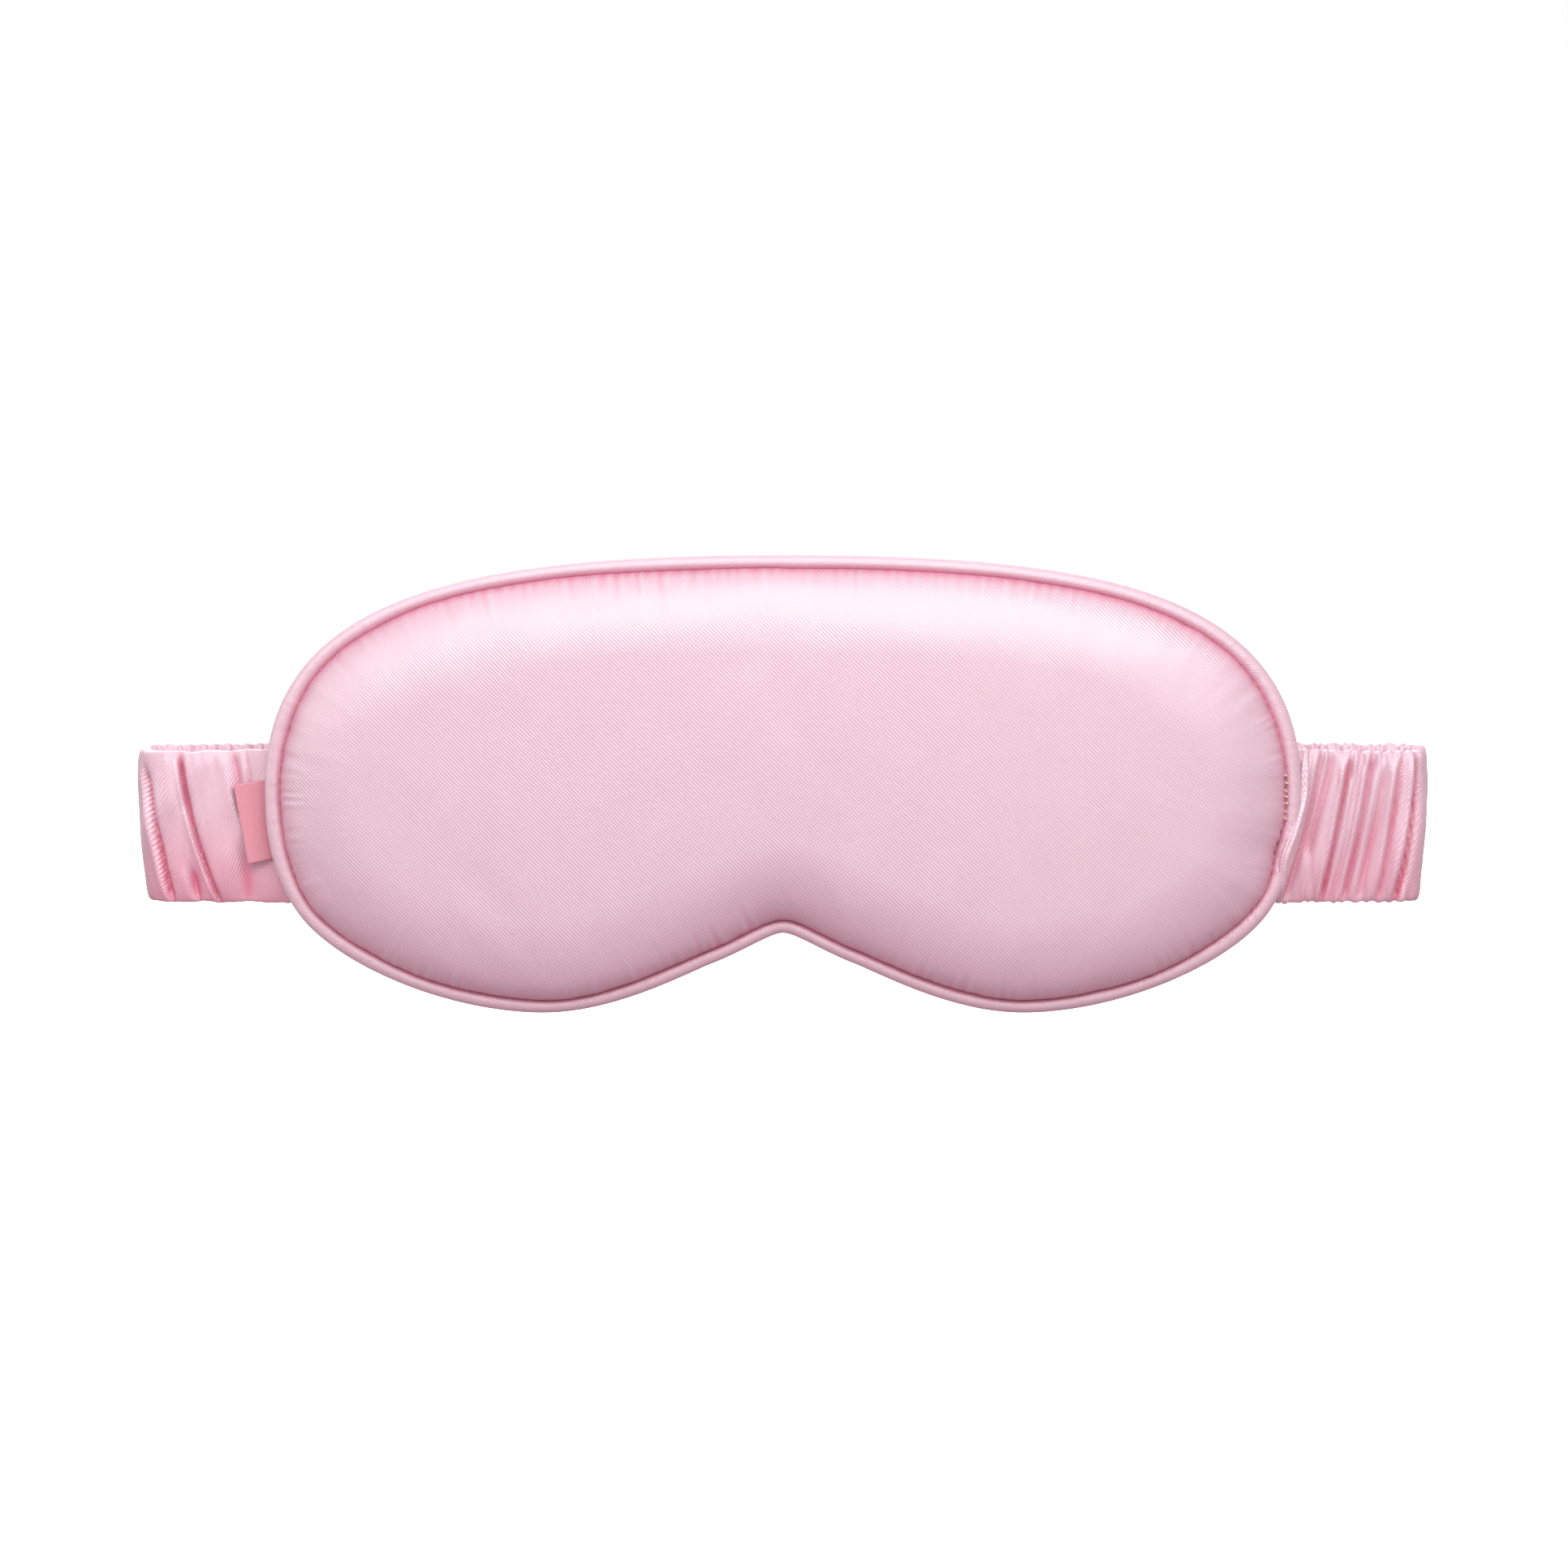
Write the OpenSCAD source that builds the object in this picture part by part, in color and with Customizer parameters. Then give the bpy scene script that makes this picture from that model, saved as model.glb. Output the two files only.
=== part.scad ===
// Padded sleep eye mask with corded piping and a gathered elastic strap.
// +Z is up as worn and the front faces -Y. The origin is on the back panel, where the
// bridge of the nose touches it, level with the centre of the strap.

/* [Mask] */
// Width of the mask over its piping
mask_w = 215; // [205:1:225]
// Height of the mask over its piping
mask_h = 95.5; // [90:0.5:101]
// Height of the top edge above the strap's centre
top_z = 56.8; // [54:0.1:60]
// Depth of the nose notch above the lobes
notch_h = 16.8; // [13:0.1:19]
// Distance between the lowest points of the two lobes
lobe_gap = 100; // [94:1:106]
// How far the side edges sit behind the centre
wrap = 8; // [4:0.5:10]

/* [Padding] */
// Height of the front crown over the seam
front_crown = 9.5; // [8:0.1:12]
// Height of the back crown over the seam
back_crown = 3.5; // [3:0.1:4.5]
// Thickness of the front and back panels
panel_t = 0.5; // [0.4:0.1:0.7]
// Thickness of the blackout liner
liner_t = 0.4; // [0.3:0.1:0.5]

/* [Piping] */
// Outer diameter of the piping
piping_d = 4; // [3.6:0.1:4.4]
// Diameter of the cord inside the piping
cord_d = 2.7; // [2.2:0.1:2.7]
// Width of the piping's sewn flange
flange_w = 4; // [3.2:0.1:4.6]

/* [Strap] */
// Width of the gathered sleeve
strap_w = 32; // [29:0.5:34]
// Thickness of the gathered sleeve
strap_t = 4.4; // [3.8:0.1:4.8]
// Width of the elastic band
elastic_w = 27; // [20:0.5:27]
// Thickness of the elastic band
elastic_t = 1.2; // [0.8:0.1:1.6]
// Width over the two folds of the strap
strap_span = 267.4; // [262:0.1:275]
// Depth of the strap's centre behind the origin
strap_back_y = 30; // [28:0.5:34]

/* [Label] */
// Height of the side label
label_h = 16.5; // [10:0.5:18]
// Length of the label that shows
label_l = 4.4; // [3:0.1:6]
// Thickness of the folded label
label_t = 0.7; // [0.5:0.1:0.8]

/* [Hidden] */

satin = "pink";
tiny = 0.05;
half_w = mask_w / 2;
lobe_z = top_z - mask_h;
notch_z = lobe_z + notch_h;
piping_r = piping_d / 2;
flange_t = 0.8;
seam_inset = piping_d + 0.15;
seam_y = -(back_crown + flange_t / 2);

// ---- outline of the right half: knots as [point, heading, handle in, handle out] ----
knots = [
    [[0, top_z], 0, 0, 61 * half_w / 107.5],
    [[half_w, 7], -90, 43, 9],
    [[half_w - 6.5, -18], -124.5, 9, 13],
    [[lobe_gap / 2, lobe_z], 180, 20, 15],
    [[14.5, notch_z - 6.3], 158.5, 6, 7],
    [[0, notch_z], 180, 2.5, 0]
];
curve_steps = 12;

function heading(a) = [cos(a), sin(a)];
function bezier(a, b, c, d, t) =
    pow(1 - t, 3) * a + 3 * pow(1 - t, 2) * t * b + 3 * (1 - t) * t * t * c + pow(t, 3) * d;
function bezier_slope(a, b, c, d, t) =
    pow(1 - t, 2) * (b - a) + 2 * (1 - t) * t * (c - b) + t * t * (d - c);
function handles(k) = [
    knots[k][0],
    knots[k][0] + knots[k][3] * heading(knots[k][1]),
    knots[k + 1][0] - knots[k + 1][2] * heading(knots[k + 1][1]),
    knots[k + 1][0]
];
function inward(slope) = [slope[1], -slope[0]] / norm(slope);
// Points of segment k, moved inwards by inset.
function segment(k, inset, steps = curve_steps) = let (h = handles(k)) [
    for (i = [0:steps]) let (t = i / steps)
        bezier(h[0], h[1], h[2], h[3], t) + inset * inward(bezier_slope(h[0], h[1], h[2], h[3], t))
];
function without_last(list) = [for (i = [0:len(list) - 2]) list[i]];
function reversed(list) = [for (i = [len(list) - 1:-1:0]) list[i]];
function top_edge(inset) = segment(0, inset, 3 * curve_steps);
function bottom_edge(inset) = reversed(concat(
    without_last(segment(1, inset)), without_last(segment(2, inset)),
    without_last(segment(3, inset)), segment(4, inset)));
function half_outline(inset) = concat(without_last(top_edge(inset)), reversed(bottom_edge(inset)));
function outline(inset) = let (half = half_outline(inset)) concat(
    without_last(half), [for (p = without_last(reversed(half))) [-p[0], p[1]]]);
// Distance from the middle plane to the right edge at height z.
function side_x(z, inset) = lookup(z, [for (p = half_outline(inset)) if (p[0] > half_w / 2) [p[1], p[0]]]);

function seam_at(x) = seam_y + wrap * pow(x / half_w, 2);
function round_over(u) = u >= 1 ? 1 : sqrt(max(0, 1 - pow(1 - u, 2)));
seam_line = half_outline(seam_inset);
function edge_gap(p, a, b) = let (d = b - a, t = max(0, min(1, (p - a) * d / (d * d)))) norm(p - a - t * d);
function seam_gap(p) = min([for (i = [0:len(seam_line) - 2])
    edge_gap([abs(p[0]), p[1]], seam_line[i], seam_line[i + 1])]);

// ---- quilt grids: columns at chosen x, rows between the lower and the upper edge ----
// Each point is [x, z, distance from the grid's own rim].
columns = 32;
rows = 10;
end_share = 0.99;
crowding = 0.75;

// Share of the way from 0 to 1 at step i of n, with the steps crowded towards both ends.
function spread(i, n) = crowding * (1 - cos(180 * i / n)) / 2 + (1 - crowding) * i / n;
function is_rim(i, j) = i == 0 || i == columns || j == 0 || j == rows;
function grid(inset) = let (
    upper = top_edge(inset), lower = bottom_edge(inset), reach = end_share * (half_w - inset)
) [
    for (i = [0:columns]) let (
        x = reach * (2 * spread(i, columns) - 1), z1 = lookup(abs(x), upper), z0 = lookup(abs(x), lower)
    ) for (j = [0:rows]) let (z = z0 + (z1 - z0) * spread(j, rows))
        [x, z, is_rim(i, j) ? 0 : max(0, seam_gap([x, z]) - (inset - seam_inset))]
];

// A layer rises from its rim over a shoulder, and domes gently after that.
shoulder = 15;
back_shoulder = 12;
dome = 1.5;
// The front satin is a little thicker at its rim, where it turns under.
hem_lift = 0.1;
function front_rise(gap, crown, reach) =
    (crown - dome) * round_over(gap / reach) + dome * round_over(gap / (3 * shoulder));
function front_layer(g, crown, reach, lift = 0) = [for (p = g)
    [p[0], seam_at(p[0]) - flange_t / 2 - lift - front_rise(p[2], crown, reach), p[1]]];
function back_layer(g, crown, reach, lift = 0) = [for (p = g)
    [p[0], seam_at(p[0]) + flange_t / 2 + lift + crown * round_over(p[2] / reach), p[1]]];

// Faces of one grid, turned over when flip is true.
function sheet_faces(first, flip) = [
    for (i = [0:columns - 1]) for (j = [0:rows - 1]) let (
        a = first + i * (rows + 1) + j, b = a + 1, c = a + rows + 2, d = a + rows + 1
    ) each flip ? [[a, b, c], [a, c, d]] : [[a, c, b], [a, d, c]]
];
rim = concat(
    [for (i = [0:columns]) i * (rows + 1)],
    [for (j = [1:rows]) columns * (rows + 1) + j],
    [for (i = [columns - 1:-1:0]) i * (rows + 1) + rows],
    [for (j = [rows - 1:-1:1]) j]);
function wall_faces(count) = let (n = len(rim)) [
    for (i = [0:n - 1]) let (a = rim[i], b = rim[(i + 1) % n])
        each [[a, b, b + count], [a, b + count, a + count]]
];
// Closed solid between a front layer and a back layer.
module between(front, back) {
    count = len(front);
    polyhedron(concat(front, back),
        concat(sheet_faces(0, true), sheet_faces(count, false), wall_faces(count)), convexity = 8);
}

// ---- closed sweeps round the mask ----
// Section points are [inset from the edge, depth behind the seam plane].
module ring_sweep(section) {
    n = len(section);
    loops = [for (s = section) outline(s[0])];
    count = len(loops[0]);
    points = [for (i = [0:count - 1]) for (k = [0:n - 1])
        [loops[k][i][0], seam_at(loops[k][i][0]) + section[k][1], loops[k][i][1]]];
    faces = [for (i = [0:count - 1]) for (k = [0:n - 1]) let (
            a = i * n + k, b = i * n + (k + 1) % n,
            c = ((i + 1) % count) * n + (k + 1) % n, d = ((i + 1) % count) * n + k)
        each [[a, b, c], [a, c, d]]];
    polyhedron(points, faces, convexity = 8);
}

// ---- strap path in plan: side run from the seam, fold, back run ----
// Path points are [x, y, lean], where lean slants the strap's cross-section in x.
strap_z = -0.7;
seam_lean = 0.14;
fold_lean = 0.045;
start = [half_w - 3, seam_y + wrap + piping_r + 2];
fold_r = 5;
fold = [strap_span / 2 - strap_t / 2 - fold_r - fold_lean * strap_w / 2, 14.4];
side_rise = 3.8;
back_rise = 9.4;
fold_in = fold + fold_r * heading(side_rise - 90);
fold_out = fold + fold_r * heading(90 - back_rise);
fold_steps = 7;

function side_run() = [for (i = [0:4]) let (t = i / 4, p = start + t * (fold_in - start))
    [p[0], p[1], seam_lean + t * (fold_lean - seam_lean)]];
function fold_run() = concat(
    [for (i = [1:fold_steps - 1]) let (
        p = fold + fold_r * heading(side_rise - 90 + i * (180 - side_rise - back_rise) / fold_steps))
        [p[0], p[1], fold_lean]],
    [for (back = [0.4, 0]) let (p = fold_out - back * heading(180 - back_rise)) [p[0], p[1], 0]]);
function side_path() = concat(side_run(), fold_run());
function back_y(x) = strap_back_y - (strap_back_y - fold_out[1]) * pow(x / fold_out[0], 2);
run_gap = 0.15;
run_steps = 16;
function back_path() = let (reach = fold_out[0] - run_gap) [
    for (i = [0:run_steps]) let (x = reach * (1 - 2 * i / run_steps)) [x, back_y(x), 0]];

function path_normal(path, i) = let (
    a = path[max(0, i - 1)], b = path[min(len(path) - 1, i + 1)], d = [b[0] - a[0], b[1] - a[1]]
) [-d[1], d[0]] / norm(d);
function lengthened(path, by) = let (n = len(path) - 1) [for (i = [0:n])
    i == 0 ? path[0] + by * (path[0] - path[1]) / norm(path[0] - path[1])
    : i == n ? path[n] + by * (path[n] - path[n - 1]) / norm(path[n] - path[n - 1]) : path[i]];
function even(path) = [for (p = path) 1];
// The sleeve is gathered flat where it enters the seam, and reaches full thickness after three steps.
flat_share = 0.38;
function gathered(path) = [for (i = [0:len(path) - 1]) min(1, flat_share + 0.21 * i)];

// Flat band along a plan path. share[i] scales its thickness at point i.
band_sides = 6;
module band(path, w, t, share) {
    n = band_sides;
    last = len(path) - 1;
    points = [for (i = [0:last]) let (q = path_normal(path, i), h = t / 2 * share[i], e = 0.6 * h)
        for (s = [[-h, e - w / 2], [0, -w / 2], [h, e - w / 2], [h, w / 2 - e], [0, w / 2], [-h, w / 2 - e]])
            [path[i][0] + path[i][2] * s[1] + q[0] * s[0], path[i][1] + q[1] * s[0], strap_z + s[1]]];
    faces = concat(
        [for (i = [0:last - 1]) for (k = [0:n - 1]) let (
            a = i * n + k, b = i * n + (k + 1) % n, c = b + n, d = a + n) each [[a, c, b], [a, d, c]]],
        [[for (k = [0:n - 1]) k]], [[for (k = [n - 1:-1:0]) last * n + k]]);
    polyhedron(points, faces, convexity = 6);
}
module sleeve(path, share) {
    color(satin) difference() {
        band(path, strap_w, strap_t, share);
        band(lengthened(path, 1), elastic_w + 2, elastic_t + 0.3, even(path));
    }
}
module elastic(path) {
    color("white") band(path, elastic_w, elastic_t, even(path));
}

// ---- sub-parts of the mask ----
ply_gap = 0.3;
core_inset = seam_inset + flange_w + 0.3;
core_reach = shoulder - 3;
liner_crown = back_crown - panel_t - ply_gap - liner_t;
liner_reach = 9;

module front_panel() {
    color(satin) between(
        front_layer(grid(seam_inset), front_crown - hem_lift, shoulder, hem_lift),
        front_layer(grid(seam_inset + panel_t), front_crown - panel_t, shoulder - panel_t));
}
module back_panel() {
    color(satin) between(
        back_layer(grid(seam_inset + panel_t), back_crown - panel_t, back_shoulder - panel_t),
        back_layer(grid(seam_inset), back_crown, back_shoulder));
}
module padding_core() {
    g = grid(core_inset);
    color("ivory") between(
        front_layer(g, front_crown - panel_t - ply_gap, core_reach),
        back_layer(g, liner_crown, liner_reach, -tiny));
}
module blackout_liner() {
    g = grid(core_inset);
    color("dimgray") between(
        back_layer(g, liner_crown, liner_reach), back_layer(g, liner_crown, liner_reach, liner_t));
}
// Bias strip folded round the cord, with its two raw edges running inwards as the flange.
cover_steps = 7;
mouth = 172;
cover_inner_r = (cord_d / 2 + tiny) / cos(mouth / (cover_steps - 1));
module piping_cover() {
    outer = [for (i = [0:cover_steps]) let (a = 165 - i * 330 / cover_steps)
        [piping_r - piping_r * cos(a), piping_r * sin(a)]];
    inner = [for (i = [0:cover_steps - 1]) let (a = mouth * (2 * i / (cover_steps - 1) - 1))
        [piping_r - cover_inner_r * cos(a), cover_inner_r * sin(a)]];
    edge = seam_inset + flange_w;
    neck = piping_d + tiny;
    h = flange_t / 2 - tiny;
    color(satin) ring_sweep(concat(
        [[edge, tiny], [edge, h], [neck, h]], outer, [[neck, -h], [edge, -h], [edge, -tiny]], inner));
}
cord_sides = 8;
module piping_cord() {
    color("white") ring_sweep([for (i = [0:cord_sides - 1]) let (a = -i * 360 / cord_sides)
        [piping_r - cord_d / 2 * cos(a), cord_d / 2 * sin(a)]]);
}

thread_r = 0.15;
module stitch(a, b) {
    d = b - a;
    translate(a) rotate([0, acos(d[2] / norm(d)), atan2(d[1], d[0])]) cylinder(h = norm(d), r = thread_r, $fn = 16);
}
// Running stitches through the flange, one for each step of the outline.
module seam_stitches() {
    line = outline(seam_inset + 2.4);
    depth = -flange_t / 2 - thread_r - tiny;
    color("lightpink") for (i = [0:len(line) - 1]) {
        p = line[i];
        q = line[(i + 1) % len(line)];
        a = [p[0], seam_at(p[0]) + depth, p[1]];
        b = [q[0], seam_at(q[0]) + depth, q[1]];
        stitch(a, a + 0.72 * (b - a));
    }
}
// Hand stitches that close the turning gap beside the right strap.
closing_count = 7;
closing_pitch = 1.5;
closing_top = 11;
module closing_stitches() {
    color("tan") for (i = [0:closing_count - 1]) {
        z = closing_top - i * closing_pitch;
        x = side_x(z, seam_inset - 0.8);
        y = seam_at(x) - piping_r - thread_r - 0.1;
        stitch([x - 0.75, y, z], [x + 0.35, y, z - 0.5]);
    }
}

// Flattened end of the sleeve and elastic, sewn between the flange and the back panel.
tail_t = 0.5;
tail_half = 13;
tail_out = seam_inset + 2.5;
tail_in = seam_inset + flange_w;
tail_y = seam_at(half_w - tail_out) + flange_t / 2 + tiny;
module tail() {
    zs = [-tail_half:tail_half / 4:tail_half];
    color(satin) translate([0, tail_y + tail_t, 0]) rotate([90, 0, 0]) linear_extrude(tail_t) polygon(concat(
        [for (z = zs) [side_x(z + strap_z, tail_out), z + strap_z]],
        reversed([for (z = zs) [side_x(z + strap_z, tail_in), z + strap_z]])));
}
bartack_count = 12;
bartack_pitch = 1.75;
module bartack() {
    y = tail_y + tail_t + thread_r + tiny;
    color("white") for (i = [0:bartack_count - 1]) {
        z = strap_z + (i - (bartack_count - 1) / 2) * bartack_pitch;
        x = side_x(z, (tail_out + tail_in) / 2);
        slant = i % 2 == 0 ? 0.7 : -0.7;
        stitch([x - 0.45, y, z - slant / 2], [x + 0.45, y, z + slant / 2]);
    }
}

// ---- side label: a folded ribbon held in the left side seam ----
label_lean = 10.3;
label_z = 0.6;
label_root_l = 4.2;
label_crease = 0.3;
label_slit = 0.08;
label_hinge = [-side_x(label_z, 0) - 1, seam_at(half_w - piping_r) + piping_r + 0.15 + label_t / 2, label_z];
module ribbon(x0, x1) {
    translate(label_hinge) rotate([0, -label_lean, 0]) translate([0, 0, -label_h / 2])
        linear_extrude(label_h) difference() {
            translate([x0, -label_t / 2]) square([x1 - x0, label_t]);
            translate([x0 + label_crease, -label_slit / 2]) square([x1 - x0, label_slit]);
        }
}
module side_label() {
    color("lightcoral") ribbon(-label_l, -0.1);
}
module label_root() {
    color("lightcoral") ribbon(0.1, label_root_l);
}

// ---- sub-parts of the strap ----
module side_sleeve() {
    sleeve(side_path(), gathered(side_path()));
}
module side_elastic() {
    elastic(lengthened(side_path(), -0.8));
}
module back_sleeve() {
    sleeve(back_path(), even(back_path()));
}
module back_elastic() {
    elastic(back_path());
}
module on_left() {
    mirror([1, 0, 0]) children();
}

front_panel();
back_panel();
padding_core();
blackout_liner();
piping_cover();
piping_cord();
seam_stitches();
closing_stitches();
on_left() tail();  // left_strap_tail
tail();  // right_strap_tail
on_left() bartack();  // left_bartack
bartack();  // right_bartack
label_root();
side_label();
on_left() side_sleeve();  // left_side_sleeve
on_left() side_elastic();  // left_side_elastic
back_sleeve();
back_elastic();
side_sleeve();  // right_side_sleeve
side_elastic();  // right_side_elastic
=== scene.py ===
"""Looks of a padded satin sleep mask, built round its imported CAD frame.

Shapes are worked out in millimetres in the frame's own axes (+X right, +Z up, the front faces -Y) and
turned to metres when a mesh is made. The mask's outline is one closed loop that starts at the top centre
and runs clockwise as seen from the front.
"""

import math

import bpy
import numpy as np
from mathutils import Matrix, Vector


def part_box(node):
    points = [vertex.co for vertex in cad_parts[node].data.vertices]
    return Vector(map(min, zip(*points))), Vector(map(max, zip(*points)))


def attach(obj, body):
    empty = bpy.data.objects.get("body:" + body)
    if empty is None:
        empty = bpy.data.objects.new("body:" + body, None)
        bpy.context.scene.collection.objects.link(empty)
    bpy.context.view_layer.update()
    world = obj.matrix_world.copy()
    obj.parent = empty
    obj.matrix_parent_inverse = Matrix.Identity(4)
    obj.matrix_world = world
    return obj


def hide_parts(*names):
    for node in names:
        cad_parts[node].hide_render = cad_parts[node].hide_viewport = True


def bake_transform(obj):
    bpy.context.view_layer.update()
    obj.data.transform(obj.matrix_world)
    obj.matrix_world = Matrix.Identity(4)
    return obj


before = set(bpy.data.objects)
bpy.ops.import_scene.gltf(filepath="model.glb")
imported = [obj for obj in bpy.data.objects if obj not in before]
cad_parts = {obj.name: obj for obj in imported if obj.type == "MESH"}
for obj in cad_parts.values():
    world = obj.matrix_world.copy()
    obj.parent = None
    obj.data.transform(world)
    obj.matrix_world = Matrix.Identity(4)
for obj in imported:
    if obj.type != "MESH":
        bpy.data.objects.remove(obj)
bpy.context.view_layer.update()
scene = bpy.context.scene
MM = 0.001


def box_mm(node):
    low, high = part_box(node)
    return np.array(low) / MM, np.array(high) / MM


# ---------------------------------------------------------------- sizes from the frame
COVER_LOW, COVER_HIGH = box_mm("piping_cover")
FRONT_LOW, _ = box_mm("front_panel")
_, SIDE_HIGH = box_mm("right_side_sleeve")
RUN_LOW, RUN_HIGH = box_mm("back_sleeve")

PIPE_R = 2.0  # depth radius of the piping
CORD_R = 1.45  # radius of the cord inside it
FLANGE = 4.0  # width of the piping's sewn flange
FLANGE_HALF = 0.35  # half its thickness
FLANGE_SLIT = 0.05  # half the space between its two raw edges
HALF_W = COVER_HIGH[0]
TOP = COVER_HIGH[2]
LOBE = COVER_LOW[2]  # lowest point of the two lobes
NOTCH_RISE = 16.8  # how far the nose notch comes up between them
NOTCH = LOBE + NOTCH_RISE
SEAM_Y = COVER_LOW[1] + PIPE_R  # depth of the seam at the middle of the mask
WRAP = COVER_HIGH[1] - COVER_LOW[1] - 2 * PIPE_R  # how far the two sides lie behind the middle
FRONT_CROWN = SEAM_Y - FRONT_LOW[1]  # how far the front stands over the seam
BACK_CROWN = 3.9  # how far the back stands behind the seam
STRAP_Z = (RUN_LOW[2] + RUN_HIGH[2]) / 2
STRAP_HALF = (RUN_HIGH[2] - RUN_LOW[2]) / 2
STRAP_T = 2.2  # half the thickness of the gathered sleeve


# ---------------------------------------------------------------- small maths
def waves(x, pitch, seed, count=7):
    """Smooth noise of about -1 to 1 whose waves are about pitch long."""
    rng = np.random.default_rng(seed)
    total = 0
    for _ in range(count):
        length = pitch * rng.uniform(0.6, 1.9)
        total = total + np.sin(2 * np.pi * x / length + rng.uniform(0, 2 * np.pi))
    return total / math.sqrt(count)


def smooth(x, low, high):
    t = np.clip((x - low) / (high - low), 0, 1)
    return t * t * (3 - 2 * t)


def bump(x, centre, width):
    return np.exp(-(((x - centre) / width) ** 2))


def round_over(u):
    return np.sqrt(np.clip(1 - (1 - np.clip(u, 0, 1)) ** 2, 0, 1))


# ---------------------------------------------------------------- the outline
# Knots of the right half, as in the CAD source: point, heading, handle in, handle out.
KNOTS = [
    ((0, TOP), 0, 0, 61),
    ((HALF_W, 7), -90, 43, 9),
    ((HALF_W - 6.5, -18), -124.5, 9, 13),
    ((50, LOBE), 180, 20, 15),
    ((14.5, NOTCH - 6.3), 158.5, 6, 7),
    ((0, NOTCH), 180, 2.5, 0),
]
LOOP_COUNT = 1600  # points round the outline
CURVE_STEPS = 400  # points on each of its curves before they are spaced evenly


def bezier(k, t):
    (a, turn_a, _, out), (d, turn_d, into, _) = KNOTS[k], KNOTS[k + 1]
    a, d = np.array(a, float), np.array(d, float)
    b = a + out * np.array([math.cos(math.radians(turn_a)), math.sin(math.radians(turn_a))])
    c = d - into * np.array([math.cos(math.radians(turn_d)), math.sin(math.radians(turn_d))])
    t = t[:, None]
    return (1 - t) ** 3 * a + 3 * (1 - t) ** 2 * t * b + 3 * (1 - t) * t * t * c + t ** 3 * d


def make_loop():
    """Evenly spaced outline points, their inward normals and the distance round to each."""
    steps = np.linspace(0, 1, CURVE_STEPS)
    curves = [bezier(k, steps)[:-1] for k in range(len(KNOTS) - 1)]
    right = np.vstack(curves + [np.array([[0, NOTCH]])])
    left = right[1:-1][::-1] * [-1, 1]
    ring = np.vstack([right, left, right[:1]])
    walked = np.concatenate([[0], np.cumsum(np.linalg.norm(np.diff(ring, axis=0), axis=1))])
    at = np.linspace(0, walked[-1], LOOP_COUNT, endpoint=False)
    points = np.stack([np.interp(at, walked, ring[:, i]) for i in (0, 1)], 1)
    along = np.roll(points, -1, 0) - np.roll(points, 1, 0)
    along /= np.linalg.norm(along, axis=1)[:, None]
    return points, np.stack([along[:, 1], -along[:, 0]], 1), at, walked[-1]


LOOP, INWARD, AROUND, PERIMETER = make_loop()
SIDENESS = smooth(np.abs(LOOP[:, 0]), 70, 100)  # 1 at the two sides, 0 at the top and bottom
# Half the width of the piping as seen from the front: nearly all of it at the sides, a little less elsewhere.
PIPE_SHOWN = 1.62 + 0.33 * SIDENESS + 0.05 * waves(AROUND, 40, 11)
# The hand-closed part of the right edge is drawn in, in small steps.
RIGHT_EDGE = LOOP[:, 0] > 0.9 * HALF_W
PINCHED = RIGHT_EDGE * bump(LOOP[:, 1], -6.5, 4.6)
STEPPED = RIGHT_EDGE * (bump(LOOP[:, 1], -1.5, 1.3) + 0.8 * bump(LOOP[:, 1], 8.5, 2.0))
PIPE_SHOWN = PIPE_SHOWN + 0.35 * PINCHED
SEAM_INSET = (1.72 * PIPE_SHOWN + 0.08 * waves(AROUND, 9, 12) * (0.4 + 0.6 * SIDENESS)
              + 0.4 * PINCHED + 0.25 * STEPPED)


def seam_y(x):
    return SEAM_Y + WRAP * (x / HALF_W) ** 2


def ring_at(inset):
    return LOOP + INWARD * np.broadcast_to(inset, (LOOP_COUNT,))[:, None]


def loop_value(values, t):
    """values given round the loop, read at shares t of the way round."""
    return np.interp(np.mod(t, 1) * LOOP_COUNT, np.arange(LOOP_COUNT + 1), np.append(values, values[0]))


def edge_x(z, inset=0.0):
    """x of the right edge at height z, moved in by inset."""
    ring = ring_at(inset)
    side = ring[ring[:, 0] > 0.55 * HALF_W]
    order = np.argsort(side[:, 1])
    return np.interp(z, side[order, 1], side[order, 0])


# ---------------------------------------------------------------- meshes
def new_object(name, vertices, faces):
    """A smooth-shaded piece from vertices in millimetres and faces, either an array or a list."""
    mesh = bpy.data.meshes.new(name)
    face_list = faces if isinstance(faces, list) else faces.tolist()
    mesh.from_pydata((np.asarray(vertices) * MM).tolist(), [], face_list)
    mesh.polygons.foreach_set("use_smooth", [True] * len(mesh.polygons))
    piece = bpy.data.objects.new(name, mesh)
    scene.collection.objects.link(piece)
    return piece


def corners_of(index):
    """The four corners of each quad of a grid of vertex numbers."""
    return np.stack([index[:-1, :-1], index[1:, :-1], index[1:, 1:], index[:-1, 1:]], -1).reshape(-1, 4)


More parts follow.
